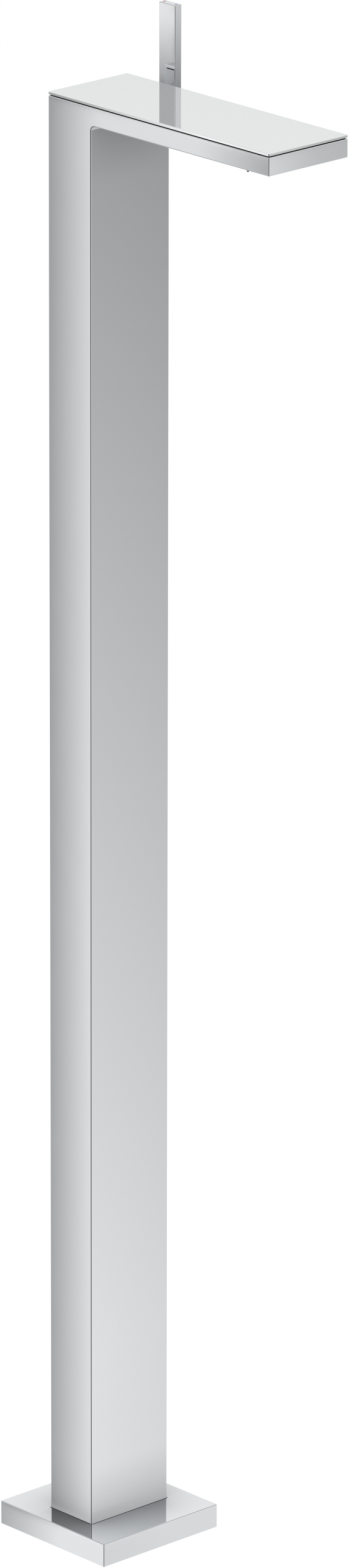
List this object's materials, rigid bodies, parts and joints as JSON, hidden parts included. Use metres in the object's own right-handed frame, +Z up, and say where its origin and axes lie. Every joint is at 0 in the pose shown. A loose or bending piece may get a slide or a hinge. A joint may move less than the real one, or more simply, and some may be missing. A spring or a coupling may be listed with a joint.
{
  "type": "floor-standing basin mixer",
  "caption": "Floor-standing single-lever basin mixer: square floor cover, tall rectangular column, flat cantilevered spout under a mirrored glass plate, side lever.",
  "frame": {"origin": "centre of the column on the floor plane, which is the centre of the floor bolt pattern", "axes": "+Z up, -Y along the spout towards the user, +X towards the lever, on the user's right"},
  "size_m": [0.1258, 0.2775, 1.22],
  "materials": {
    "polished_chrome": "mirror-polished chrome plate",
    "mirror_glass": "silver-backed glass, pale silver-grey",
    "black_plastic": "matt black moulded plastic",
    "grey_plastic": "matt grey moulded plastic",
    "white_plastic": "matt white moulded plastic",
    "ceramic_white": "lapped alumina ceramic",
    "raw_brass": "machined brass",
    "stainless": "turned stainless steel",
    "zinc_steel": "zinc-plated steel",
    "braided_steel": "braided stainless wire over a hose",
    "black_rubber": "matt black rubber",
    "grey_silicone": "dark grey silicone rubber",
    "bonding_foam": "thin adhesive sheet",
    "black_foam": "closed-cell foam",
    "red_enamel": "glossy red inlay",
    "blue_enamel": "glossy blue inlay"
  },
  "bodies": {
    "mixer_body": {"mounting_foot": "zinc_steel", "foot_gasket": "black_rubber", "column_grub_screws": "stainless", "body_shell": "polished_chrome", "glass_plate": "mirror_glass", "bonding_sheet": "bonding_foam", "plate_carrier": "black_plastic", "carrier_screws": "stainless", "valve_block": "raw_brass", "block_spacer": "grey_plastic", "cartridge_base_seal": "black_rubber", "cartridge_base": "white_plastic", "cartridge_housing": "white_plastic", "fixed_disc": "ceramic_white", "clamp_ring": "raw_brass", "dome_sleeve": "polished_chrome", "spout_waterway": "grey_plastic", "waterway_rings": "black_rubber", "flow_limiter": "white_plastic", "spray_chamber": "grey_plastic", "spray_screws": "stainless", "spray_face": "polished_chrome", "nozzle_mat": "grey_silicone", "hot_hose": "braided_steel", "cold_hose": "braided_steel", "hose_ferrules": "stainless", "block_nipples": "raw_brass", "fitting_rings": "black_rubber", "inlet_tails": "raw_brass", "union_nuts": "raw_brass", "filter_washers": "black_rubber", "hose_spacers": "black_foam"},
    "base_cover": {"base_cover": "polished_chrome", "cover_seal": "black_rubber"},
    "mixing_carrier": {"stem_guide": "grey_plastic", "pivot_pin": "stainless"},
    "mixing_disc": {"moving_disc": "ceramic_white", "disc_coupler": "grey_plastic"},
    "lever": {"lever_stem": "stainless", "handle_hub": "polished_chrome", "hub_grub_screw": "stainless", "hub_plug": "polished_chrome", "lever_bar": "polished_chrome", "hot_mark": "red_enamel", "cold_mark": "blue_enamel"}
  },
  "joints": [
    {"name": "cover_lift", "type": "slide", "parent": "mixer_body", "child": "base_cover", "axis": [0, 0, 1], "range_m": [0, 0.15]},
    {"name": "lever_temperature", "type": "hinge", "parent": "mixer_body", "child": "mixing_carrier", "pos_m": [0.02775, 0, 1.138], "axis": [1, 0, 0], "range_deg": [-45, 45]},
    {"name": "lever_flow", "type": "hinge", "parent": "mixing_carrier", "child": "lever", "pos_m": [0.02775, 0, 1.138], "axis": [0, 1, 0], "range_deg": [0, 16]},
    {"name": "disc_slide", "type": "slide", "parent": "mixing_carrier", "child": "mixing_disc", "axis": [0, 0, 1], "range_m": [0, 0.002]}
  ],
  "couplings": [
    {"joint": "disc_slide", "follows": "lever_flow", "m_per_rad": 0.007}
  ]
}
